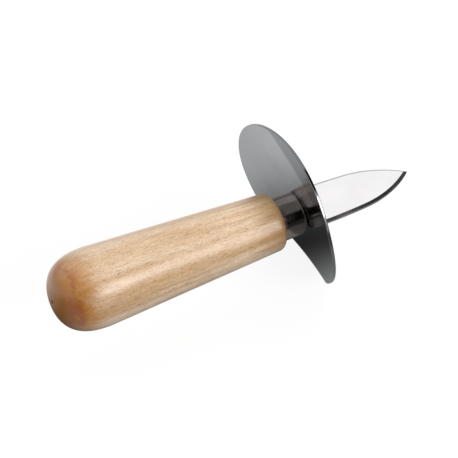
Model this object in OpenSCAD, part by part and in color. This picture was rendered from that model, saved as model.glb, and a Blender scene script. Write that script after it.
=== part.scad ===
// Oyster knife with a round hand guard. The knife lies along +X: the origin is the
// mouth of the small hole in the butt, +Z leaves the blade's flat and +Y is its width.

/* [Handle] */
// Length of the wooden handle, from the butt to the front shoulder
handle_len = 92; // [75:1:115]
// Largest diameter, where the dome of the butt ends
handle_d = 30.6; // [27:0.2:36]
// Diameter at the front shoulder
handle_front_d = 22.6; // [21.6:0.2:26]
// Length of the domed butt
dome_len = 18; // [10:1:24]
// Fullness of the dome: 2 is an ellipse, more is squarer
dome_power = 2.6; // [2:0.1:3]
// Radius of the rounded front shoulder, as far as the ferrule's seat leaves room for it
shoulder_r = 2.6; // [0.6:0.2:3]
// Diameter of the small hole in the butt
butt_hole_d = 1.8; // [1.2:0.1:3]
// Depth of the small hole in the butt
butt_hole_depth = 6; // [3:0.5:12]
// Width of the flat spot left around that hole
butt_rim = 0.8; // [0.4:0.1:2]

/* [Ferrule] */
// Outside diameter of the ferrule
ferrule_d = 17; // [16:0.5:18]
// Wall of the ferrule where it covers the wooden spigot
ferrule_wall = 0.9; // [0.6:0.1:1.4]
// Length of the ferrule that shows between the wood and the guard
ferrule_len = 10.4; // [8:0.2:16]
// Thinnest part of the ferrule's closed end
ferrule_end_t = 1.2; // [0.8:0.1:2]
// Radius of the ferrule's rounded nose
ferrule_nose_r = 1.4; // [0.4:0.1:2]

/* [Guard] */
// Diameter of the guard
guard_d = 66.6; // [54:0.4:76]
// Thickness of the guard's sheet
guard_t = 1.2; // [0.8:0.1:2]
// How far the guard's centre lies to the +Y side of the knife's axis
guard_shift = 5; // [0:0.5:6]
// Radius that the sheet is bent to across the blade's width, hollow towards the handle
guard_bend_r = 180; // [90:5:400]
// Angle by which the guard's upper side, towards +Z, leans back to the handle
guard_lean = 8.5; // [0:0.5:10]
// Angle by which its +Y side leans back to the handle
guard_side_lean = 1.5; // [0:0.5:5]
// Distance below the axis at which the lower rim starts to turn forwards
lip_start = 22.6; // [16:0.2:32]
// Radius of that turn, on the side of the handle
lip_r = 10.4; // [6:0.2:40]
// Angle that the rim turns through if the guard reaches far enough
lip_turn = 50; // [10:5:60]

/* [Blade] */
// Length of the blade from the front of the guard to its tip
blade_len = 46; // [40:1:75]
// Widest part of the blade
blade_w = 19.6; // [14:0.2:24]
// Thickness of the blade
blade_t = 2; // [1.5:0.1:3]
// Distance of the widest part from the guard
belly_x = 4.5; // [2:0.5:8]
// Distance from the guard at which the edge starts to curve faster
turn_x = 23; // [18:1:26]
// Radius of the edge before that turn
belly_r = 250; // [200:10:500]
// Width of the bevel along both edges
bevel_w = 1.1; // [0.6:0.1:2]
// Thickness left at the blunt edge
edge_t = 0.5; // [0.3:0.1:0.9]
// Width of the tang
tang_w = 8; // [6:0.5:9]
// Thickness of the tang, which is ground a little thinner than the blade
tang_t = 1.8; // [1.2:0.1:2]
// Depth of the tang inside the wood
tang_depth = 46; // [30:1:60]
// Length of the tang's pointed end
tang_point = 7; // [3:0.5:12]

/* [Fits] */
// Gap on each side between the tang and its slots
slot_clear = 0.15; // [0.05:0.05:0.4]
// Gap between the tang's corners and the bore in the wood
bore_clear = 0.1; // [0.05:0.05:0.4]
// Gap between the wooden spigot and the ferrule
spigot_clear = 0.05; // [0.02:0.01:0.2]
// Gap between the guard and what seats against its two faces
seat_clear = 0.05; // [0.02:0.01:0.2]
// Room left ahead of the spigot and behind the tang's point
end_clear = 0.3; // [0.1:0.1:1]

/* [Hidden] */
$fn = 96;
dome_steps = 22;
lip_steps = 8;
through = 1;   // how far a cutter runs past the face it cuts

// The guard's rear face meets the axis at seat_x and the blade is measured from its front
seat_x = handle_len + ferrule_len;
blade_x = seat_x + guard_t;

// Spigot and bore of the handle
spigot_r = ferrule_d / 2 - ferrule_wall - spigot_clear;
shoulder = min(shoulder_r, handle_front_d / 2 - ferrule_d / 2 - spigot_clear);
lean_slope = tan(guard_lean) + tan(guard_side_lean);
nose_drop = ferrule_d / 2 * lean_slope + ferrule_d * ferrule_d / (8 * guard_bend_r);
end_t = ferrule_end_t + nose_drop;   // the leaning guard face cuts into this end
spigot_len = ferrule_len - end_t - end_clear;
tang_bore_d = sqrt(tang_w * tang_w + tang_t * tang_t) + 2 * bore_clear;
tang_back_x = handle_len - tang_depth;

// The blank that the guard is cut from reaches past its bent, leaning and turned rim
rim_far = guard_d / 2 + guard_shift;
guard_reach = rim_far * (lean_slope + tan(lip_turn)) + rim_far * rim_far / (2 * guard_bend_r)
    + 4 * guard_t;

// Each edge of the blade is two arcs that meet smoothly. Heights are of the arcs' centres,
// below the edge that they draw, and the nose's radius brings both edges together at the tip.
half_w = blade_w / 2;
heel_drop = half_w * lean_slope + guard_t;   // the heel starts this far inside the guard
turn_a = asin((turn_x - belly_x) / belly_r);
tip_dx = blade_len - belly_x;
radius_drop = (tip_dx * tip_dx + pow(belly_r - half_w, 2) - belly_r * belly_r)
    / (2 * (tip_dx * sin(turn_a) + (belly_r - half_w) * cos(turn_a) - belly_r));
nose_r = belly_r - radius_drop;
belly_h = belly_r - half_w;
nose_h = belly_h - radius_drop * cos(turn_a);
nose_x = belly_x + radius_drop * sin(turn_a);

// Half of a superellipse, as points of radius and distance from the butt
function dome_point(a) =
    [handle_d / 2 * pow(sin(a), 2 / dome_power), dome_len * (1 - pow(cos(a), 2 / dome_power))];

// A quarter circle of radius r about the point c, turning from radial to axial
function quarter(c, r, steps) =
    [for (i = [0:steps]) c + r * [cos(90 * i / steps), sin(90 * i / steps)]];

// Turns a profile of radius and distance about the knife's axis
module lathe(points) {
    rotate([0, 90, 0]) rotate_extrude() polygon(points);
}

// Places its children in the guard's own frame, leaning about the point where it seats
module guard_frame() {
    translate([seat_x, 0, 0]) rotate([0, -guard_lean, guard_side_lean]) children();
}

// A solid upright drum whose skin is the bent sheet's rear face, moved forwards by offset_x.
// Its lower end flares out in an arc and then straight on, which turns the lower rim forwards.
module bend_drum(offset_x) {
    arc_r = lip_r - offset_x;
    arc_x = guard_bend_r + lip_r;
    arc = [for (i = [0:lip_steps]) let (a = lip_turn * i / lip_steps)
        [arc_x - arc_r * cos(a), lip_start + arc_r * sin(a)]];
    flare_end = arc[lip_steps] + guard_d * [sin(lip_turn), cos(lip_turn)];
    guard_frame() translate([-guard_bend_r, 0, 0]) mirror([0, 0, 1])
        rotate_extrude($fn = 360) polygon(concat(
            [[0, -guard_d], [guard_bend_r + offset_x, -guard_d]], arc,
            [flare_end, [0, flare_end[1]]]));
}

// The slot that the tang passes through, from x0 to x1
module tang_slot(x0, x1) {
    translate([x0, -tang_w / 2 - slot_clear, -tang_t / 2 - slot_clear])
        cube([x1 - x0, tang_w + 2 * slot_clear, tang_t + 2 * slot_clear]);
}

// Turned beech handle with a domed butt, a spigot for the ferrule and a bore for the tang
module handle() {
    flat_r = butt_hole_d / 2 + butt_rim;
    first_a = asin(pow(2 * flat_r / handle_d, dome_power / 2));
    color("burlywood") difference() {
        lathe(concat(
            [[0, 0], [flat_r, 0]],
            [for (i = [1:dome_steps]) dome_point(first_a + (90 - first_a) * i / dome_steps)],
            quarter([handle_front_d / 2 - shoulder, handle_len - shoulder], shoulder, 8),
            [[spigot_r, handle_len], [spigot_r, handle_len + spigot_len],
             [0, handle_len + spigot_len]]));
        translate([-through, 0, 0]) rotate([0, 90, 0])
            cylinder(d = butt_hole_d, h = butt_hole_depth + through);
        translate([tang_back_x - end_clear, 0, 0]) rotate([0, 90, 0])
            cylinder(d = tang_bore_d, h = tang_depth + spigot_len + end_clear + through);
    }
}

// Polished collar, closed at its rounded nose, which is trimmed where the guard leans over it
module ferrule() {
    outer_r = ferrule_d / 2;
    inner_r = outer_r - ferrule_wall;
    color("dimgray") difference() {
        intersection() {
            lathe(concat(
                [[inner_r, handle_len], [outer_r, handle_len]],
                quarter([outer_r - ferrule_nose_r, seat_x - ferrule_nose_r], ferrule_nose_r, 12),
                [[0, seat_x], [0, seat_x - end_t], [inner_r, seat_x - end_t]]));
            bend_drum(-seat_clear);
        }
        tang_slot(seat_x - end_t - through, seat_x + through);
    }
}

// Round sheet guard, bent hollow towards the handle, leaning back, with its lower rim turned
module guard() {
    color("silver") difference() {
        intersection() {
            translate([seat_x, guard_shift, 0]) rotate([0, 90, 0])
                cylinder(d = guard_d, h = 2 * guard_reach, center = true, $fn = 180);
            bend_drum(guard_t);
        }
        bend_drum(0);
        tang_slot(seat_x - guard_reach, seat_x + guard_reach);
    }
}

// A round plate with both rims bevelled, lying in the blade's plane
module bevelled_plate(r) {
    rotate_extrude($fn = 360) polygon([
        [0, -blade_t / 2], [r - bevel_w, -blade_t / 2], [r, -edge_t / 2],
        [r, edge_t / 2], [r - bevel_w, blade_t / 2], [0, blade_t / 2]]);
}

// What two such plates share between x0 and x1: one stretch of the leaf-shaped blade
module leaf_stretch(x0, x1, r, centre_x, centre_h) {
    intersection() {
        translate([blade_x + x0, -blade_w, -blade_t]) cube([x1 - x0, 2 * blade_w, 2 * blade_t]);
        translate([blade_x + centre_x, centre_h, 0]) bevelled_plate(r);
        translate([blade_x + centre_x, -centre_h, 0]) bevelled_plate(r);
    }
}

// Flat bar that runs from the blade's heel through guard and ferrule into the wood
module tang() {
    half = tang_w / 2;
    translate([0, 0, -tang_t / 2]) linear_extrude(tang_t) polygon([
        [tang_back_x, -half / 3], [tang_back_x, half / 3], [tang_back_x + tang_point, half],
        [blade_x + belly_x, half], [blade_x + belly_x, -half], [tang_back_x + tang_point, -half]]);
}

// Leaf-shaped blade with blunt bevelled edges, its heel cut to the guard's front face
module blade() {
    color("gainsboro") union() {
        difference() {
            leaf_stretch(-heel_drop, turn_x, belly_r, belly_x, belly_h);
            bend_drum(guard_t + seat_clear);
        }
        leaf_stretch(turn_x, blade_len, nose_r, nose_x, nose_h);
        tang();
    }
}

handle();
ferrule();
guard();
blade();
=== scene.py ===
# Oyster knife: beech handle, nickel ferrule, bent steel guard and leaf-shaped blade.
# Lengths are in metres. +X runs from the butt to the tip and +Z leaves the blade's flat.
import bpy
import math
import numpy as np
from mathutils import Matrix, Vector


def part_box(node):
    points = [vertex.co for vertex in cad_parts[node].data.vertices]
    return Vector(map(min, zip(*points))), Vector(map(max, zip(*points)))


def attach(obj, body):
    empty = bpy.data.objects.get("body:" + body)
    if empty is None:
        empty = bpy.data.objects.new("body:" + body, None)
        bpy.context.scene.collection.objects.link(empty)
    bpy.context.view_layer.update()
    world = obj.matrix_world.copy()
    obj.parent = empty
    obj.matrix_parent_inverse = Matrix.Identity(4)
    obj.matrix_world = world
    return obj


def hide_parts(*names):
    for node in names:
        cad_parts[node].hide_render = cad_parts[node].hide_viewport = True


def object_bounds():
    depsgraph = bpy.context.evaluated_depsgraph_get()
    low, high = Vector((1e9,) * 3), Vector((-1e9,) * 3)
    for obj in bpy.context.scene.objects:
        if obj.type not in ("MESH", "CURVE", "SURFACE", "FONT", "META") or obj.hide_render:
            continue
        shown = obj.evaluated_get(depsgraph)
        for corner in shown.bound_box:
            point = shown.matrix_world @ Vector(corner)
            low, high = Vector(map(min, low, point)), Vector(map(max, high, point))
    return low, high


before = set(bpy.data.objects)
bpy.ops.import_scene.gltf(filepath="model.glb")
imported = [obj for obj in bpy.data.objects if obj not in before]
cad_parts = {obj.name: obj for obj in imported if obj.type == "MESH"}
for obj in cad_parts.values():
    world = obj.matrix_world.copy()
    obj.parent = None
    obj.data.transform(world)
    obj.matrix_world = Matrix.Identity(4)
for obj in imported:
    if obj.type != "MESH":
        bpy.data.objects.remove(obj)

mm = 0.001
cadLow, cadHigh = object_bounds()

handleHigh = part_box("handle")[1]
ferruleLow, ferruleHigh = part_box("ferrule")
guardLow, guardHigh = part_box("guard")
bladeLow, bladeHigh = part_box("blade")
woodFront = ferruleLow.x    # the shoulder that the ferrule stands on
seatX = ferruleHigh.x       # where the guard's rear face meets the knife's axis

# The blade's tang, and the slot for it in the guard and in the ferrule's end
tang = {
    "width": 8.0 * mm,
    "thickness": 1.8 * mm,
    "corner": 0.15 * mm,      # small chamfer along its four edges
    "pointLength": 7.0 * mm,
    "pointShare": 1 / 3,      # how much of the width is left at its rear end
    "steps": 12,              # sections from the point's base to the guard
    "slotGap": 0.15 * mm,
    "slotPower": 8.0,         # squareness of the slot's outline, 2 is an ellipse
}


def skinRings(name, rings, ends=None, wrap=False, sharpAngle=32):
    # One skin over a stack of closed rings, an array of (rings, points, xyz). ends are two
    # points that close the first and last ring with fans; wrap joins the last ring to the first.
    # If the volume, a sixth of the sum of the corners' triple products, is negative, all turn.
    # Edges that bend by more than sharpAngle degrees stay sharp.
    count, around = rings.shape[:2]
    points = rings.reshape(-1, 3)
    ids = np.arange(count * around).reshape(count, around)
    rows = np.vstack([ids, ids[:1]]) if wrap else ids
    here, ahead = rows[:-1], rows[1:]
    quads = np.stack([here, ahead, np.roll(ahead, -1, 1), np.roll(here, -1, 1)], -1).reshape(-1, 4)
    triangles = np.zeros((0, 3), int)
    if ends is not None:
        points = np.vstack([points, ends])
        first, last = len(points) - 2, len(points) - 1
        startFan = np.stack([np.full(around, first), ids[0], np.roll(ids[0], -1)], -1)
        endFan = np.stack([np.full(around, last), np.roll(ids[-1], -1), ids[-1]], -1)
        triangles = np.vstack([startFan, endFan])
    allTriangles = np.vstack([quads[:, [0, 1, 2]], quads[:, [0, 2, 3]], triangles])
    a, b, c = (points[allTriangles[:, i]] for i in range(3))
    if (a * np.cross(b, c)).sum() < 0:
        quads, triangles = quads[:, ::-1], triangles[:, ::-1]
    mesh = bpy.data.meshes.new(name)
    mesh.from_pydata(points.tolist(), [], quads.tolist() + triangles.tolist())
    mesh.validate()
    mesh.shade_smooth()
    mesh.set_sharp_from_angle(angle=math.radians(sharpAngle))
    piece = bpy.data.objects.new(name, mesh)
    bpy.context.scene.collection.objects.link(piece)
    return piece


def dress(piece, material, node):
    # Gives a finished piece its material and its body, and hides the CAD part that it stands for.
    piece.data.materials.append(material)
    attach(piece, "root")
    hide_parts(node)
    print(f"{piece.name}: {len(piece.data.polygons)} faces")


def addNode(tree, kind, inputs=None, **settings):
    # A node with its settings; inputs takes plain values or sockets to link from.
    node = tree.nodes.new(kind)
    for key, value in settings.items():
        setattr(node, key, value)
    for key, value in (inputs or {}).items():
        if isinstance(value, bpy.types.NodeSocket):
            tree.links.new(value, node.inputs[key])
        else:
            node.inputs[key].default_value = value
    return node


def newMaterial(name, settings):
    # A Principled material whose even values are set on the shader's own sockets, with its
    # node tree, its shader and the piece's Object coordinates.
    material = bpy.data.materials.new(name)
    material.use_nodes = True
    tree = material.node_tree
    shader = tree.nodes["Principled BSDF"]
    for key, value in settings.items():
        shader.inputs[key].default_value = value
    place = addNode(tree, "ShaderNodeTexCoord").outputs["Object"]
    return material, tree, shader, place


def stretched(tree, place, scale, turn=(0, 0, 0), shift=(0, 0, 0)):
    # The coordinates with each axis multiplied by its own scale, then turned and moved. A
    # pattern on them is drawn out along the piece's axis that has the smallest scale.
    node = addNode(tree, "ShaderNodeMapping", {"Vector": place, "Scale": scale,
                                               "Rotation": turn, "Location": shift})
    return node.outputs["Vector"]


noiseSpan = (0.3, 0.7)      # most values of a noise lie between these


def noise(tree, vector, detail=3.0, roughness=0.5, distortion=0.0):
    node = addNode(tree, "ShaderNodeTexNoise", {"Vector": vector, "Scale": 1.0, "Detail": detail,
                                                "Roughness": roughness, "Distortion": distortion})
    return node.outputs["Fac"]


def remap(tree, value, low, high, toLow=0.0, toHigh=1.0):
    # Smooth ramp from low..high to toLow..toHigh, held at both ends.
    node = addNode(tree, "ShaderNodeMapRange",
                   {"Value": value, "From Min": low, "From Max": high,
                    "To Min": toLow, "To Max": toHigh}, interpolation_type="SMOOTHSTEP")
    return node.outputs["Result"]


def calc(tree, operation, first, second=0.0):
    return addNode(tree, "ShaderNodeMath", {0: first, 1: second}, operation=operation).outputs[0]


def blendColour(tree, amount, first, second, mode="MIX"):
    # The node's colour sockets are its inputs 6 and 7 and its output 2.
    node = tree.nodes.new("ShaderNodeMix")
    node.data_type = "RGBA"
    node.blend_type = mode
    for socket, value in ((node.inputs[0], amount), (node.inputs[6], first),
                          (node.inputs[7], second)):
        if isinstance(value, bpy.types.NodeSocket):
            tree.links.new(value, socket)
        else:
            socket.default_value = value
    return node.outputs[2]


def addBump(tree, shader, height, strength, distance, target="Normal"):
    # Relief in the shading only, distance deep where the height goes from 0 to 1.
    bump = addNode(tree, "ShaderNodeBump", {"Height": height, "Strength": strength,
                                            "Distance": distance})
    tree.links.new(bump.outputs["Normal"], shader.inputs[target])


# Guard: sheet steel, bent and flared as the skin of an upright drum
guard = {
    "thickness": 1.2 * mm,
    "bendRadius": 180 * mm,
    "lean": 8.5,              # degrees, the upper side back towards the handle
    "sideLean": 1.5,          # degrees, the +Y side back towards the handle
    "lipStart": 22.6 * mm,    # below the axis
    "lipRadius": 10.4 * mm,
    "lipTurn": 50,            # degrees
    "foldSide": 22.8,         # degrees about X, from +Z to the side of a second, slight fold
    "foldStart": 22.1 * mm,   # from the axis
    "foldRound": 1.5 * mm,    # half the length of its curve
    "foldTurn": 2.5,          # degrees, forwards
    "edgeRound": 0.3 * mm,
    "edgeSteps": 4,
    "around": 288,
    "steps": 56,
    "solveSteps": 12,
}
guardRadius = (guardHigh.y - guardLow.y) / 2
guardMiddle = (guardHigh.y + guardLow.y) / 2


def sheetFace(y, z, offset):
    # x of the sheet's rear face, moved forwards by offset. In the leaning guard's own frame the
    # face keeps the distance r from an upright axis: r is the bend's radius, and below the
    # lip's start it grows along an arc, then straight on at the lip's final angle. x is the
    # larger root of (x part + bend radius)^2 + (y part)^2 = r^2, solved again as r settles.
    # Past the second fold's line x grows by a straight slope, reached over a parabola:
    # (distance past the parabola's start)^2 / (4 times its half length).
    turn = (Matrix.Rotation(math.radians(guard["sideLean"]), 3, "Z")
            @ Matrix.Rotation(math.radians(-guard["lean"]), 3, "Y"))
    t = np.array(turn)
    bend, lipTurn = guard["bendRadius"], math.radians(guard["lipTurn"])
    arc = guard["lipRadius"] - offset
    arcEnd = arc * math.sin(lipTurn)
    x = np.zeros_like(y)
    for _ in range(guard["solveSteps"]):
        below = -(t[0, 2] * x + t[1, 2] * y + t[2, 2] * z) - guard["lipStart"]
        onArc = np.clip(below, 0, arcEnd)
        r = (bend + guard["lipRadius"] - np.sqrt(arc ** 2 - onArc ** 2)
             + np.clip(below - arcEnd, 0, None) * math.tan(lipTurn))
        c1 = t[1, 0] * y + t[2, 0] * z + bend
        c2 = t[1, 1] * y + t[2, 1] * z
        half = t[0, 0] * c1 + t[0, 1] * c2
        square = t[0, 0] ** 2 + t[0, 1] ** 2
        x = (-half + np.sqrt(half ** 2 - square * (c1 ** 2 + c2 ** 2 - r ** 2))) / square
    side = math.radians(guard["foldSide"])
    past = z * math.cos(side) - y * math.sin(side) - guard["foldStart"]
    soft = guard["foldRound"]
    rise = np.where(past > soft, past, np.clip(past + soft, 0, None) ** 2 / (4 * soft))
    return seatX + x + rise * math.tan(math.radians(guard["foldTurn"]))


def slotOutline(angle):
    # Rounded rectangle about the tang: each side's share is the circle's to the power 2 / p.
    halfWidth = tang["width"] / 2 + tang["slotGap"]
    halfDepth = tang["thickness"] / 2 + tang["slotGap"]
    power = 2 / tang["slotPower"]
    c, s = np.cos(angle), np.sin(angle)
    return np.stack([halfWidth * np.sign(c) * np.abs(c) ** power,
                     halfDepth * np.sign(s) * np.abs(s) ** power], -1)


def slotToCircle(angle, share, radius, middle):
    # Points between the slot's outline, at share 0, and a circle about middle, at share 1.
    circle = np.stack([middle + radius * np.cos(angle), radius * np.sin(angle)], -1)
    share = share[:, None, None]
    return (1 - share) * slotOutline(angle) + share * circle


def buildGuard():
    # Rings run from the slot out over the front face, round the rim and back over the rear. The
    # rim's corners are quarter circles: radius + edge sin(a) and depth edge (1 - cos(a)).
    angle = np.linspace(0, 2 * np.pi, guard["around"], endpoint=False)
    edge = guard["edgeRound"]
    share = np.linspace(0, 1, guard["steps"])
    face = slotToCircle(angle, share, guardRadius - edge, guardMiddle)
    front = sheetFace(face[..., 0], face[..., 1], guard["thickness"])
    rear = sheetFace(face[..., 0], face[..., 1], 0.0)
    corner = np.linspace(0, np.pi / 2, guard["edgeSteps"] + 1)[1:]
    rimRadius = (guardRadius - edge + edge * np.sin(corner))[:, None]
    rimY = guardMiddle + rimRadius * np.cos(angle)
    rimZ = rimRadius * np.sin(angle)
    drop = (edge * (1 - np.cos(corner)))[:, None]
    rimFront = sheetFace(rimY, rimZ, guard["thickness"]) - drop
    rimRear = sheetFace(rimY, rimZ, 0.0) + drop
    rim = np.stack([rimY, rimZ], -1)
    x = np.vstack([front, rimFront, rimRear[::-1], rear[::-1]])
    across = np.concatenate([face, rim, rim[::-1], face[::-1]])
    return skinRings("guard_sheet", np.concatenate([x[..., None], across], -1), wrap=True)


guardFinish = {
    "steel": (0.32, 0.335, 0.342, 1),
    "steelWorn": (0.295, 0.306, 0.312, 1),
    "cloudScale": (60, 60, 60),
    "wornMask": (0.35, 0.7),
    "cutEdge": (0.20, 0.205, 0.21, 1),
    "edgeStart": (33.0 * mm, 33.15 * mm),    # by the distance from the disc's middle
    # painted shade on the segment past the second fold, for the handle's shadow that it mirrors
    "foldPaintedShade": (0.63, 0.63, 0.645, 1),
    "foldSoft": 0.4 * mm,                    # on both sides of the fold's line
    "brushScale": (900, 60, 5200),           # smallest along the lines, which run along Y
    "brushTurn": 43.6,                       # degrees by which the stretched noise is turned
    "brushShade": (0.93, 0.93, 0.93, 1),
    "brushRelief": (0.12, 0.05 * mm),        # strength and depth
    "roughness": (0.11, 0.17),
}


def guardSteel():
    # Satin sheet: long fine scratches in one direction, with faint cloudy patches. The segment
    # past the second fold is darker by painted shade, which stands for the shadow that it
    # mirrors, and the cut edge is darker. radius is the distance from the disc's middle, and
    # height the distance from the axis towards the fold.
    f = guardFinish
    material, tree, shader, place = newMaterial("satin_steel", {"Metallic": 1.0})
    turn = (math.radians(f["brushTurn"]), 0, 0)
    lines = noise(tree, stretched(tree, place, f["brushScale"], turn), detail=4, roughness=0.6)
    clouds = noise(tree, stretched(tree, place, f["cloudScale"]))
    colour = blendColour(tree, remap(tree, clouds, *f["wornMask"]), f["steel"], f["steelWorn"])
    streaks = blendColour(tree, remap(tree, lines, *noiseSpan), f["brushShade"], (1, 1, 1, 1))
    colour = blendColour(tree, 1.0, colour, streaks, "MULTIPLY")
    offset = stretched(tree, place, (0, 1, 1), shift=(0, -guardMiddle, 0))
    radius = addNode(tree, "ShaderNodeVectorMath", {0: offset}, operation="LENGTH").outputs["Value"]
    upright = stretched(tree, place, (1, 1, 1), (-math.radians(guard["foldSide"]), 0, 0))
    height = addNode(tree, "ShaderNodeSeparateXYZ", {"Vector": upright}).outputs["Z"]
    start, soft = guard["foldStart"], f["foldSoft"]
    folded = remap(tree, height, start - soft, start + soft)
    # Painted shade past the second fold, in place of the shadow that the segment mirrors
    paintedFoldShade = blendColour(tree, 1.0, colour, f["foldPaintedShade"], "MULTIPLY")
    colour = blendColour(tree, folded, colour, paintedFoldShade)
    cut = remap(tree, radius, *f["edgeStart"])
    tree.links.new(blendColour(tree, cut, colour, f["cutEdge"]), shader.inputs["Base Color"])
    rough = remap(tree, clouds, *noiseSpan, *f["roughness"])
    tree.links.new(rough, shader.inputs["Roughness"])
    addBump(tree, shader, lines, *f["brushRelief"])
    return material


# Ferrule: a drawn cup with a rounded nose, closed towards the guard
ferrule = {
    "radius": ferruleHigh.y,
    "wall": 0.9 * mm,
    "endThickness": 2.9 * mm,    # on the axis, from its inside to the guard's rear face
    "noseRadius": 2.5 * mm,
    "mouthRound": 0.12 * mm,
    "guardGap": 0.05 * mm,
    "around": 144,
    "insideSteps": 8,
    "mouthSteps": 7,
    "wallSteps": 20,
    "noseSteps": 14,
    "faceSteps": 7,
}


def buildFerrule():
    # A lathe profile of distance and radius round the cup's wall, from the slot's inner edge out
    # and back to its outer edge. The mouth's lip is half an ellipse and the nose a quarter
    # circle, nose sin(a) and nose cos(a) from its centre. What would reach past the leaning
    # guard is pulled back to it.
    f = ferrule
    outer, inner, nose, lip = f["radius"], f["radius"] - f["wall"], f["noseRadius"], f["mouthRound"]
    insideX = seatX - f["endThickness"]
    angle = np.linspace(0, 2 * np.pi, f["around"], endpoint=False)
    bend = np.linspace(0, np.pi / 2, f["noseSteps"])
    mouth = np.linspace(0, np.pi, f["mouthSteps"])
    insideLine = np.linspace(insideX, woodFront + lip, f["insideSteps"])
    wallLine = np.linspace(woodFront + lip, seatX - nose, f["wallSteps"])
    middle = (outer + inner) / 2
    profile = np.vstack([
        np.stack([insideLine, np.full_like(insideLine, inner)], -1),
        np.stack([woodFront + lip * (1 - np.sin(mouth)),
                  middle - (middle - inner) * np.cos(mouth)], -1)[1:-1],
        np.stack([wallLine, np.full_like(wallLine, outer)], -1),
        np.stack([seatX - nose + nose * np.sin(bend), outer - nose + nose * np.cos(bend)], -1)[1:]])
    x = np.repeat(profile[:, :1], len(angle), 1)
    wallYz = profile[:, 1, None, None] * np.stack([np.cos(angle), np.sin(angle)], -1)
    faceShare = np.linspace(1, 0, f["faceSteps"])[1:]
    frontYz = slotToCircle(angle, faceShare, outer - nose, 0.0)
    insideYz = slotToCircle(angle, faceShare[::-1], inner, 0.0)
    x = np.vstack([np.full((len(insideYz), len(angle)), insideX), x,
                   np.full((len(frontYz), len(angle)), seatX)])
    across = np.concatenate([insideYz, wallYz, frontYz])
    x = np.minimum(x, sheetFace(across[..., 0], across[..., 1], -f["guardGap"]))
    return skinRings("ferrule_cup", np.concatenate([x[..., None], across], -1), wrap=True)


ferruleFinish = {
    "nickel": (0.245, 0.215, 0.202, 1),
    "nickelDull": (0.21, 0.18, 0.167, 1),
    "cloudScale": (220, 220, 220),
    "dullMask": (0.35, 0.65),
    "ringScale": (9000, 60, 60),
    "ringRelief": (0.05, 0.02 * mm),         # strength and depth
    "roughness": (0.09, 0.18),
}


def ferruleNickel():
    # Polished plating: slow tone changes and faint rings left by the lathe.
    f = ferruleFinish
    material, tree, shader, place = newMaterial("dark_nickel", {"Metallic": 1.0})
    clouds = noise(tree, stretched(tree, place, f["cloudScale"]), roughness=0.55)
    rings = noise(tree, stretched(tree, place, f["ringScale"]), detail=2)
    colour = blendColour(tree, remap(tree, clouds, *f["dullMask"]), f["nickel"], f["nickelDull"])
    tree.links.new(colour, shader.inputs["Base Color"])
    rough = remap(tree, clouds, *noiseSpan, *f["roughness"])
    tree.links.new(rough, shader.inputs["Roughness"])
    addBump(tree, shader, rings, *f["ringRelief"])
    return material


# Blade: a flat leaf with two ground bevels, forged in one with its tang
blade = {
    "thickness": bladeHigh.z - bladeLow.z,
    "halfWidth": bladeHigh.y,
    "edge": 0.8 * mm,            # thickness left at the blunt edge
    "bellyX": 4.5 * mm,          # widest part, from the guard
    "turnX": 23 * mm,            # where the edge starts to curve faster
    "bellyRadius": 250 * mm,
    "bevelHeel": 1.1 * mm,
    "bevelTip": 1.35 * mm,
    "heelGap": 0.05 * mm,
    "tipHalf": 0.02 * mm,        # least half height of a section
    "rings": 120,
    "faceColumns": 24,
    "bevelColumns": 4,
    "edgeColumns": 3,
    "flatNormal": 0.95,          # least Z of a flat's normal
}
bladeX = seatX + guard["thickness"]


def bladeHalfHeight(s):
    # Two arcs that meet smoothly: one of the belly's radius about a point below the widest
    # part, and past the turn one of a smaller radius that reaches the axis at the tip.
    b = blade
    big, belly, w = b["bellyRadius"], b["bellyX"], b["halfWidth"]
    turn = math.asin((b["turnX"] - belly) / big)
    reach = bladeHigh.x - bladeX - belly
    shrink = ((reach ** 2 + (big - w) ** 2 - big ** 2)
              / (2 * (reach * math.sin(turn) + (big - w) * math.cos(turn) - big)))
    small = big - shrink
    smallX = belly + shrink * math.sin(turn)
    smallDepth = big - w - shrink * math.cos(turn)
    bellyArc = np.sqrt(big ** 2 - (s - belly) ** 2) - (big - w)
    noseArc = np.sqrt(np.clip(small ** 2 - (s - smallX) ** 2, 0, None)) - smallDepth
    return np.clip(np.where(s < b["turnX"], bellyArc, noseArc), 0, None)


def bladeSection(half, bevel, thickness, edge):
    # Closed outline across the blade for each half height: flat, bevel, blunt edge, bevel, and
    # the same on the far side. The thickness falls straight across each bevel, and where
    # the two bevels meet near the tip the flat is gone and a ridge is left.
    half, bevel, thickness, edge = (v[:, None] for v in (half, bevel, thickness, edge))
    flat = np.clip(half - bevel, 0, None)
    n, m, k = blade["faceColumns"], blade["bevelColumns"], blade["edgeColumns"]
    across = np.linspace(1, -1, n, endpoint=False)
    ground = np.linspace(0, 1, m, endpoint=False)
    blunt = np.linspace(1, -1, k, endpoint=False)
    faceY = flat * across
    lowY = -(flat + (half - flat) * ground)
    returnY = -(half + (flat - half) * ground)

    def depth(y):
        fallen = np.clip((np.abs(y) - half + bevel) / bevel, 0, 1)
        return (thickness - (thickness - edge) * fallen) / 2

    edgeY = np.repeat(half, k, 1)
    edgeZ = edge / 2 * blunt
    y = np.hstack([faceY, lowY, -edgeY, returnY, -faceY, -lowY, edgeY, -returnY])
    z = np.hstack([depth(faceY), depth(lowY), edgeZ, -depth(returnY),
                   -depth(faceY), -depth(lowY), -edgeZ, depth(returnY)])
    return y, z


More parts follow.
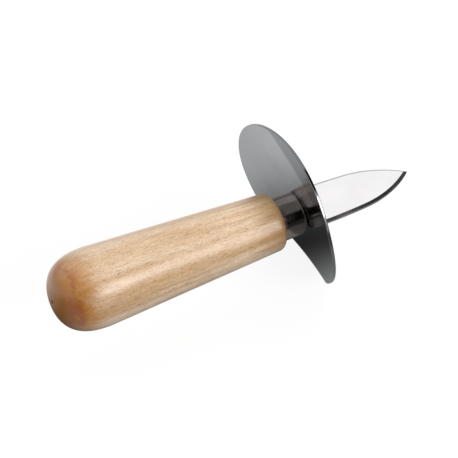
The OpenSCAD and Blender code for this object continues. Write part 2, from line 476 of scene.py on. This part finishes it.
def buildBlade():
    # Sections along the knife: the tang from its point to the heel, then the leaf to the tip.
    # Both sections at the heel lie on the guard's front face. The leaf's sections lie at
    # length sin(a), closer towards the tip, and its bevel widens with the distance squared.
    b, t = blade, tang
    pointX = bladeLow.x + t["pointLength"]
    tangX = np.concatenate([[bladeLow.x], np.linspace(pointX, bladeX, t["steps"])])
    tangHalf = np.full(len(tangX), t["width"] / 2)
    tangHalf[0] *= t["pointShare"]
    same = np.ones(len(tangX))
    tangY, tangZ = bladeSection(tangHalf, same * t["corner"], same * t["thickness"],
                                same * (t["thickness"] - 2 * t["corner"]))
    length = bladeHigh.x - bladeX
    s = length * np.sin(np.linspace(0, np.pi / 2, b["rings"]))
    half = bladeHalfHeight(s)
    bevel = b["bevelHeel"] + (b["bevelTip"] - b["bevelHeel"]) * (s / length) ** 2
    leafY, leafZ = bladeSection(np.maximum(half, b["tipHalf"]), bevel,
                                np.full(len(s), b["thickness"]), np.full(len(s), b["edge"]))
    y, z = np.vstack([tangY, leafY]), np.vstack([tangZ, leafZ])
    x = np.repeat(np.concatenate([tangX, bladeX + s])[:, None], y.shape[1], 1)
    heel = slice(len(tangX) - 1, len(tangX) + 1)
    x[heel] = sheetFace(y[heel], z[heel], guard["thickness"] + b["heelGap"])
    ends = [[bladeLow.x, 0, 0], [bladeHigh.x, 0, 0]]
    piece = skinRings("blade_steel", np.stack([x, y, z], -1), ends=ends, sharpAngle=14)
    # The attribute ground is 1 on every face that turns away from Z, and 0 on the flats.
    normals = np.zeros(3 * len(piece.data.polygons))
    piece.data.polygons.foreach_get("normal", normals)
    ground = piece.data.attributes.new("ground", "FLOAT", "FACE")
    ground.data.foreach_set("value", (np.abs(normals[2::3]) < b["flatNormal"]).astype(float))
    return piece


bladeFinish = {
    "steel": (0.96, 0.945, 0.95, 1),
    "steelSoft": (0.92, 0.905, 0.91, 1),
    "bevel": (0.42, 0.405, 0.41, 1),
    "cloudScale": (90, 90, 90),
    "grindScale": (3800, 70, 400),           # smallest across the blade
    "grindRelief": (0.04, 0.02 * mm),        # strength and depth
    "roughness": (0.10, 0.18),
    "bevelRougher": 0.11,                    # added on the bevels
}


def bladeSteel():
    # Bright polish with faint grinding lines across the blade. The ground bevels are darker
    # and rougher.
    f = bladeFinish
    material, tree, shader, place = newMaterial("polished_steel", {"Metallic": 1.0})
    grinding = noise(tree, stretched(tree, place, f["grindScale"]))
    clouds = noise(tree, stretched(tree, place, f["cloudScale"]))
    colour = blendColour(tree, remap(tree, clouds, *noiseSpan), f["steel"], f["steelSoft"])
    ground = addNode(tree, "ShaderNodeAttribute", attribute_name="ground").outputs["Fac"]
    tree.links.new(blendColour(tree, ground, colour, f["bevel"]), shader.inputs["Base Color"])
    polish = remap(tree, clouds, *noiseSpan, *f["roughness"])
    rougher = calc(tree, "MULTIPLY", ground, f["bevelRougher"])
    tree.links.new(calc(tree, "ADD", polish, rougher), shader.inputs["Roughness"])
    addBump(tree, shader, grinding, *f["grindRelief"])
    return material


# Handle: turned beech under clear varnish
handle = {
    "buttRadius": handleHigh.y,
    "frontRadius": 11.3 * mm,
    "domeLength": 18 * mm,
    "domePower": 2.6,            # 2 is an ellipse, more is squarer
    "shoulder": 2.6 * mm,
    "holeRadius": 0.9 * mm,
    "holeDepth": 6 * mm,
    "holeRim": 0.8 * mm,         # flat ring around the hole
    "holeChamfer": 0.15 * mm,
    "holeRing": 1.0 * mm,        # one more ring of points, this deep in the hole
    "spigotRadius": 7.55 * mm,
    "boreRadius": 4.2 * mm,
    "boreBackX": 45.7 * mm,
    "around": 180,
    "domeSteps": 40,
    "taperSteps": 26,
    "shoulderSteps": 12,
}


def buildHandle():
    # A lathe profile from the bottom of the butt hole over the dome, taper, shoulder and spigot
    # to the end of the tang's bore. The dome is a superellipse: its radius is sin(a)^(2/p) of
    # the butt's and its distance 1 - cos(a)^(2/p) of its length. The shoulder is a quarter
    # circle, r sin(q) along and r (1 - cos(q)) inwards.
    h = handle
    flat = h["holeRadius"] + h["holeRim"]
    power = 2 / h["domePower"]
    first = math.asin((flat / h["buttRadius"]) ** (1 / power))
    a = np.linspace(first, np.pi / 2, h["domeSteps"])
    dome = np.stack([h["domeLength"] * (1 - np.abs(np.cos(a)) ** power),
                     h["buttRadius"] * np.sin(a) ** power], -1)
    dome[-1, 0] = h["domeLength"]
    shoulderX = woodFront - h["shoulder"]
    taper = np.linspace(dome[-1], [shoulderX, h["frontRadius"]], h["taperSteps"])[1:]
    q = np.linspace(0, np.pi / 2, h["shoulderSteps"])[1:]
    shoulder = np.stack([shoulderX + h["shoulder"] * np.sin(q),
                         h["frontRadius"] - h["shoulder"] * (1 - np.cos(q))], -1)
    profile = np.vstack([
        [[h["holeDepth"], h["holeRadius"]], [h["holeRing"], h["holeRadius"]]],
        [[h["holeChamfer"], h["holeRadius"]], [0.0, h["holeRadius"] + h["holeChamfer"]]],
        [[0.0, flat]],
        dome[1:], taper, shoulder,
        [[woodFront, h["spigotRadius"]], [handleHigh.x, h["spigotRadius"]]],
        [[handleHigh.x, h["boreRadius"]], [h["boreBackX"], h["boreRadius"]]]])
    angle = np.linspace(0, 2 * np.pi, h["around"], endpoint=False)
    x = np.repeat(profile[:, :1], len(angle), 1)
    r = profile[:, 1:]
    ends = [[h["holeDepth"], 0, 0], [h["boreBackX"], 0, 0]]
    rings = np.stack([x, r * np.cos(angle), r * np.sin(angle)], -1)
    return skinRings("beech_handle", rings, ends=ends)


woodFinish = {
    "pale": (0.815, 0.635, 0.465, 1),
    "tan": (0.585, 0.375, 0.20, 1),
    "growth": (0.45, 0.255, 0.105, 1),
    "fleck": (0.38, 0.205, 0.10, 1),
    "endGrain": (0.455, 0.18, 0.02, 1),
    "stain": (0.37, 0.115, 0.028, 1),
    "shoulderTone": (0.33, 0.18, 0.06, 1),
    "mottle": ((0.83, 0.80, 0.75, 1), (1.10, 1.10, 1.10, 1)),
    # Layers of noise: scale along and across the grain, detail, roughness, distortion, shift
    "layers": {
        "broad": (9, 130, 3, 0.5, 0.4, (0, 0, 0)),
        "growth": (14, 420, 3, 0.6, 0.3, (0, 0, 0)),
        "fine": (150, 1900, 4, 0.7, 0.0, (0, 0, 0)),
        "flecks": (380, 2100, 1, 0.4, 0.0, (3, 7, 1)),
        "pores": (1500, 3200, 3, 0.7, 0.0, (0, 0, 0)),
        "peel": (1500, 1700, 1, 0.5, 0.0, (5, 1, 2)),
        "spots": (160, 130, 3, 0.6, 0.0, (2, 4, 9)),
    },
    # Masks: two values of the noise or of x, and the strength at both
    "tanMask": (0.35, 0.66, 0.0, 1.0),
    "growthMask": (0.45, 0.7, 0.0, 0.4),
    "fineMask": (0.42, 0.7, 0.0, 0.45),
    "fleckMask": (0.60, 0.69, 0.0, 1.0),
    "fleckZone": (0.36, 0.6, 0.35, 0.75),
    "endMask": (17 * mm, 30 * mm, 0.95, 0.0),
    "stainMask": (0.40, 0.58, 0.0, 1.0),
    "stainRing": (1.0 * mm, 4.5 * mm, 1.0, 0.0),     # by the distance from stainX
    "stainX": 4.5 * mm,
    "frontMask": (84 * mm, 102 * mm, 0.0, 0.85),
    "mottleMask": (0.35, 0.65, 0.0, 1.0),
    # How far each noise shifts the end grain's and the front tone's borders along X
    "endByGrowth": 16 * mm,
    "endByFine": 9 * mm,
    "frontByGrowth": 20 * mm,
    "poreRelief": 0.8,                       # the pores' share in the wood's relief
    "woodRelief": (0.25, 0.03 * mm),         # strength and depth
    "varnishRelief": (0.7, 0.12 * mm),
    "surface": {"Roughness": 0.45, "Specular IOR Level": 0.15, "Coat Weight": 1.0,
                "Coat Roughness": 0.28, "Coat IOR": 1.5},
}


def varnishedBeech():
    # The grain runs along X: most layers of noise are drawn out that way. The butt's end grain
    # is darker, with a ring of reddish stains, and the front shoulder is golden.
    f = woodFinish
    material, tree, shader, place = newMaterial("varnished_beech", f["surface"])
    layer = {}
    for name, (along, across, detail, roughness, distortion, shift) in f["layers"].items():
        drawn = stretched(tree, place, (along, across, across), shift=shift)
        layer[name] = noise(tree, drawn, detail, roughness, distortion)

    def over(colour, mask, tone):
        # The colour with a tone laid over it as strongly as the mask says.
        return blendColour(tree, mask, colour, f[tone])

    def times(value, factor):
        return calc(tree, "MULTIPLY", value, factor)

    x = addNode(tree, "ShaderNodeSeparateXYZ", {"Vector": place}).outputs["X"]
    colour = over(f["pale"], remap(tree, layer["broad"], *f["tanMask"]), "tan")
    colour = over(colour, remap(tree, layer["growth"], *f["growthMask"]), "growth")
    colour = over(colour, remap(tree, layer["fine"], *f["fineMask"]), "growth")
    fleckZone = remap(tree, layer["broad"], *f["fleckZone"])
    colour = over(colour, times(remap(tree, layer["flecks"], *f["fleckMask"]), fleckZone), "fleck")
    byGrowth = times(layer["growth"], f["endByGrowth"])
    byFine = times(layer["fine"], f["endByFine"])
    endX = calc(tree, "ADD", x, calc(tree, "ADD", byGrowth, byFine))
    colour = over(colour, remap(tree, endX, *f["endMask"]), "endGrain")
    fromRing = calc(tree, "ABSOLUTE", calc(tree, "SUBTRACT", x, f["stainX"]))
    ring = remap(tree, fromRing, *f["stainRing"])
    colour = over(colour, times(ring, remap(tree, layer["spots"], *f["stainMask"])), "stain")
    frontX = calc(tree, "ADD", x, times(layer["growth"], f["frontByGrowth"]))
    colour = over(colour, remap(tree, frontX, *f["frontMask"]), "shoulderTone")
    mottle = blendColour(tree, remap(tree, layer["pores"], *f["mottleMask"]), *f["mottle"])
    tree.links.new(blendColour(tree, 1.0, colour, mottle, "MULTIPLY"), shader.inputs["Base Color"])
    grain = calc(tree, "ADD", layer["fine"], times(layer["pores"], f["poreRelief"]))
    addBump(tree, shader, grain, *f["woodRelief"])
    addBump(tree, shader, layer["peel"], *f["varnishRelief"], "Coat Normal")
    return material


handlePiece = buildHandle()
dress(handlePiece, varnishedBeech(), "handle")
ferrulePiece = buildFerrule()
dress(ferrulePiece, ferruleNickel(), "ferrule")
guardPiece = buildGuard()
dress(guardPiece, guardSteel(), "guard")
bladePiece = buildBlade()
dress(bladePiece, bladeSteel(), "blade")

# Studio: a white floor and surround, three soft lamps, a sheet of painted shadow and three black
# cards
studio = {
    "floorSize": 6.0,
    "floorPaper": (0.22, 0.22, 0.22, 1),     # for the soft light that it throws on the knife
    "floorSeen": (0.14, 0.14, 0.14, 1),      # to the eye, its share that takes light and shadow
    "floorGlow": 0.88,                       # to the eye, its even share
    "surround": 0.45,                        # strength of the white world as light
    "surroundSeen": 0.96,                    # to the eye and in reflections, like the far floor
    # The painted shadow sheet's cover far in front of the knife, close in front and under it
    "sheetCovers": (0.88, 0.50, 0.96),
    # Where along Y the cover changes between these, and where it ends behind the knife
    "sheetFar": (-0.16, -0.08),
    "sheetNear": (-0.022, 0.010),
    "sheetRear": (0.012, 0.060),
    "sheetLift": 0.1 * mm,
    "matt": {"Base Color": (0.01, 0.01, 0.01, 1), "Roughness": 1.0, "Specular IOR Level": 0.0},
    "aim": Vector((0.075, 0.0, 0.0)),        # the middle of the knife
    # Each lamp: place, size along and across the knife, watts per square metre, and whether it
    # shows in reflections
    "lamps": {
        "overhead_softbox": ((0.52, 0.61, 1.05), (1.1, 1.9), 4.2, False),
        "rear_softbox": ((-0.60, 0.86, 0.69), (1.0, 0.9), 2.8, True),
        "front_softbox": ((0.48, -0.99, 0.67), (0.64, 0.56), 28.5, True),
    },
    # Each card: place and size, like the lamps
    "cards": {
        "gap_card": ((0.52, -0.37, 1.05), (0.9, 0.64)),
        "side_card": ((-0.43, -0.96, 0.48), (1.4, 1.0)),
        "tip_card": ((1.20, -0.20, 0.65), (0.9, 0.9)),
    },
}


def seenWhite(tree):
    # 1 for what the eye, a mirror or glass shows, and 0 for soft light.
    path = addNode(tree, "ShaderNodeLightPath").outputs
    shown = calc(tree, "MAXIMUM", path["Is Camera Ray"], path["Is Glossy Ray"])
    return calc(tree, "MAXIMUM", shown, path["Is Transmission Ray"])


def surroundWhite():
    # White to the eye and in reflections, dimmer as light.
    world = bpy.data.worlds.new("surround")
    bpy.context.scene.world = world
    world.use_nodes = True
    tree = world.node_tree
    background = tree.nodes["Background"]
    background.inputs["Color"].default_value = (1, 1, 1, 1)
    strength = remap(tree, seenWhite(tree), 0.0, 1.0, studio["surround"], studio["surroundSeen"])
    tree.links.new(strength, background.inputs["Strength"])


def flatPanel(name, corners, material):
    # A flat panel that belongs to the studio, given by its four corners.
    mesh = bpy.data.meshes.new(name)
    mesh.from_pydata([tuple(c) for c in corners], [], [(0, 1, 2, 3)])
    mesh.materials.append(material)
    panel = bpy.data.objects.new(name, mesh)
    bpy.context.scene.collection.objects.link(panel)
    return panel


def onlyMirrored(panel):
    # The panel shows in reflections only: the eye doesn't see it and it blocks no light.
    panel.visible_camera = False
    panel.visible_diffuse = False
    panel.visible_shadow = False


def whiteFloor():
    # A matt plane just under the knife. It shows as white, less the knife's soft shadow.
    size, z = studio["floorSize"] / 2, cadLow.z
    material = bpy.data.materials.new("white_paper")
    material.use_nodes = True
    tree = material.node_tree
    tree.nodes.clear()
    matt = addNode(tree, "ShaderNodeBsdfDiffuse", {"Color": studio["floorPaper"]}).outputs[0]
    soft = addNode(tree, "ShaderNodeBsdfDiffuse", {"Color": studio["floorSeen"]}).outputs[0]
    glow = addNode(tree, "ShaderNodeEmission", {"Strength": studio["floorGlow"]}).outputs[0]
    seen = addNode(tree, "ShaderNodeAddShader", {0: soft, 1: glow}).outputs[0]
    shown = addNode(tree, "ShaderNodeMixShader", {0: seenWhite(tree), 1: matt, 2: seen}).outputs[0]
    addNode(tree, "ShaderNodeOutputMaterial", {"Surface": shown})
    corners = [(-size, -size, z), (size, -size, z), (size, size, z), (-size, size, z)]
    flatPanel("floor", corners, material)


def paintedShadowSheet():
    # Painted shadow: a dark, partly clear sheet on the front half of the floor that only dims
    # reflections. It is darkest under the knife, where it stands for the knife's shadow, and it
    # is painted shade in front of it. Its cover is (far ramp + near ramp) x rear ramp.
    size, end, z = studio["floorSize"] / 2, studio["sheetRear"][1], cadLow.z + studio["sheetLift"]
    material, tree, shader, place = newMaterial("painted_shadow_sheet", studio["matt"])
    y = addNode(tree, "ShaderNodeSeparateXYZ", {"Vector": place}).outputs["Y"]
    farCover, closeCover, underCover = studio["sheetCovers"]
    far = remap(tree, y, *studio["sheetFar"], farCover, closeCover)
    near = remap(tree, y, *studio["sheetNear"], 0.0, underCover - closeCover)
    rear = remap(tree, y, *studio["sheetRear"], 1.0, 0.0)
    # Painted shadow, darkest under the knife
    cover = calc(tree, "MULTIPLY", calc(tree, "ADD", far, near), rear)
    tree.links.new(cover, shader.inputs["Alpha"])
    corners = [(-size, -size, z), (size, -size, z), (size, end, z), (-size, end, z)]
    onlyMirrored(flatPanel("painted_shadow_sheet", corners, material))


def facingKnife(place):
    # The matrix of a frame at place whose -Z looks at the knife and whose X lies along it.
    back = (Vector(place) - studio["aim"]).normalized()
    side = (Vector((1, 0, 0)) - back * back.x).normalized()
    turn = Matrix((side, back.cross(side), back)).transposed()
    return Matrix.Translation(place) @ turn.to_4x4()


def softLamp(name, place, size, powerDensity, mirrored):
    # A rectangular lamp that faces the knife. Its power is its power density times its area.
    light = bpy.data.lights.new(name, "AREA")
    light.shape = "RECTANGLE"
    light.size, light.size_y = size
    light.energy = powerDensity * size[0] * size[1]
    lamp = bpy.data.objects.new(name, light)
    lamp.matrix_world = facingKnife(place)
    lamp.visible_glossy = mirrored
    bpy.context.scene.collection.objects.link(lamp)


def blackCard(name, place, size):
    # A dark panel that faces the knife and shows only in reflections.
    wide, high = size[0] / 2, size[1] / 2
    flat = ((-wide, -high, 0), (wide, -high, 0), (wide, high, 0), (-wide, high, 0))
    stand = facingKnife(place)
    corners = [stand @ Vector(corner) for corner in flat]
    onlyMirrored(flatPanel(name, corners, newMaterial(name, studio["matt"])[0]))


surroundWhite()
whiteFloor()
# painted shadow of the knife, seen only in reflections
paintedShadowSheet()
for lampName, lampSettings in studio["lamps"].items():
    softLamp(lampName, *lampSettings)
for cardName, cardSettings in studio["cards"].items():
    blackCard(cardName, *cardSettings)
print("studio ready")

# Camera: a long lens above the knife, in front of it and behind its butt
cameraView = {
    "place": Vector((-0.2467, -0.5486, 0.6803)),
    "aim": Vector((0.0631, -0.0159, 0.0243)),
    "roll": 2.84,                 # degrees
    "lens": 196.68,               # for the sensor's width, both in millimetres
    "sensor": 36,
}


def addCamera():
    data = bpy.data.cameras.new("camera")
    data.sensor_width = cameraView["sensor"]
    data.lens = cameraView["lens"]
    camera = bpy.data.objects.new("camera", data)
    bpy.context.scene.collection.objects.link(camera)
    camera.location = cameraView["place"]
    look = (cameraView["aim"] - cameraView["place"]).to_track_quat("-Z", "Y").to_matrix()
    roll = Matrix.Rotation(math.radians(cameraView["roll"]), 3, "Z")
    camera.rotation_euler = (look @ roll).to_euler()
    bpy.context.scene.camera = camera


addCamera()
bpy.context.scene.view_settings.view_transform = "Standard"
